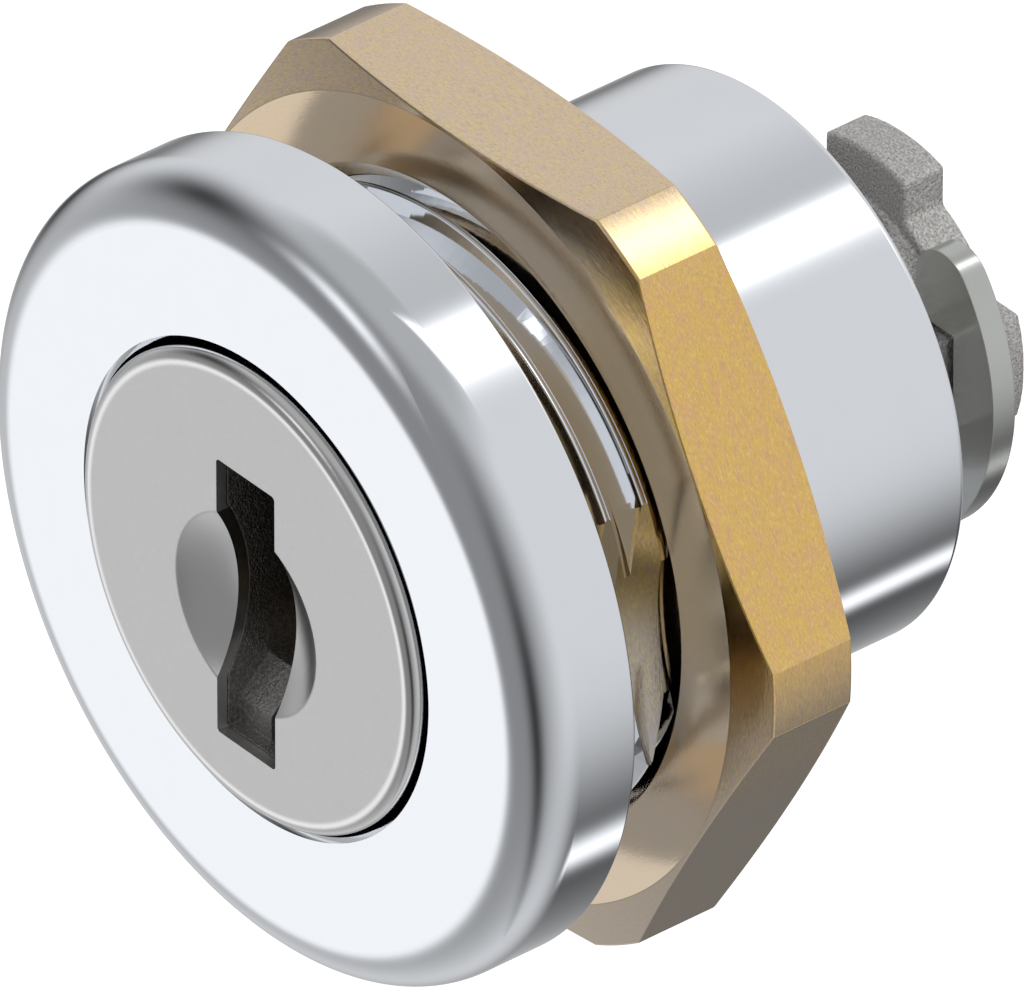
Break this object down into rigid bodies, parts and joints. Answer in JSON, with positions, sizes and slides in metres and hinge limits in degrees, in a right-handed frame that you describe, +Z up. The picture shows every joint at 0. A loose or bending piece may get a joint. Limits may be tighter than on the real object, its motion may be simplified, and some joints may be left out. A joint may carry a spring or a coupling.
{
  "type": "quarter-turn lock",
  "caption": "Quarter-turn panel lock with a round head, a flatted threaded body, a hex nut, a keyed core that turns, and a toothed spindle whose clip holds a cam.",
  "frame": {"origin": "on the lock's axis, in the plane of the head's rear face, which bears on the panel", "axes": "+Y along the lock's axis into the cabinet, +Z up at the keyhole's upright position, +X to the right seen from the front"},
  "size_m": [0.0308, 0.0271, 0.028],
  "materials": {
    "chrome_plate": "bright mirror chrome plate",
    "yellow_zinc": "yellow passivated zinc plate, fine grained, with an iridescent cast",
    "satin_nickel": "satin nickel with a polished rim",
    "die_cast_zinc": "rough grainy die cast zinc, bare",
    "satin_steel": "satin steel with bright thin edges",
    "spring_steel": "drawn spring steel",
    "wafer_brass": "stamped brass",
    "black_rubber": "smooth nitrile rubber"
  },
  "bodies": {
    "body": {"housing": "chrome_plate", "snap_ring": "spring_steel"},
    "nut": {"hex_nut": "yellow_zinc"},
    "rotor": {"core_cap": "satin_nickel", "plug": "die_cast_zinc", "plug_seal": "black_rubber", "spindle": "die_cast_zinc", "spindle_seal": "black_rubber", "cam_clip": "satin_steel", "wafer_spring_1": "spring_steel", "wafer_spring_2": "spring_steel", "wafer_spring_3": "spring_steel", "wafer_spring_4": "spring_steel", "wafer_spring_5": "spring_steel", "wafer_spring_6": "spring_steel"},
    "wafer_1": {"wafer_1": "wafer_brass"},
    "wafer_2": {"wafer_2": "wafer_brass"},
    "wafer_3": {"wafer_3": "wafer_brass"},
    "wafer_4": {"wafer_4": "wafer_brass"},
    "wafer_5": {"wafer_5": "wafer_brass"},
    "wafer_6": {"wafer_6": "wafer_brass"}
  },
  "joints": [
    {"name": "key_turn", "type": "hinge", "parent": "body", "child": "rotor", "pos_m": [0, 0, 0], "axis": [0, 1, 0], "range_deg": [0, 90]},
    {"name": "nut_travel", "type": "slide", "parent": "body", "child": "nut", "axis": [0, 1, 0], "range_m": [-0.003, 0.006]},
    {"name": "wafer_1_lift", "type": "slide", "parent": "rotor", "child": "wafer_1", "axis": [0, 0, 1], "range_m": [0, 0.0007], "deforming": ["wafer_spring_1"]},
    {"name": "wafer_2_lift", "type": "slide", "parent": "rotor", "child": "wafer_2", "axis": [0, 0, -1], "range_m": [0, 0.0007], "deforming": ["wafer_spring_2"]},
    {"name": "wafer_3_lift", "type": "slide", "parent": "rotor", "child": "wafer_3", "axis": [0, 0, 1], "range_m": [0, 0.0007], "deforming": ["wafer_spring_3"]},
    {"name": "wafer_4_lift", "type": "slide", "parent": "rotor", "child": "wafer_4", "axis": [0, 0, -1], "range_m": [0, 0.0007], "deforming": ["wafer_spring_4"]},
    {"name": "wafer_5_lift", "type": "slide", "parent": "rotor", "child": "wafer_5", "axis": [0, 0, 1], "range_m": [0, 0.0007], "deforming": ["wafer_spring_5"]},
    {"name": "wafer_6_lift", "type": "slide", "parent": "rotor", "child": "wafer_6", "axis": [0, 0, -1], "range_m": [0, 0.0007], "deforming": ["wafer_spring_6"]}
  ]
}
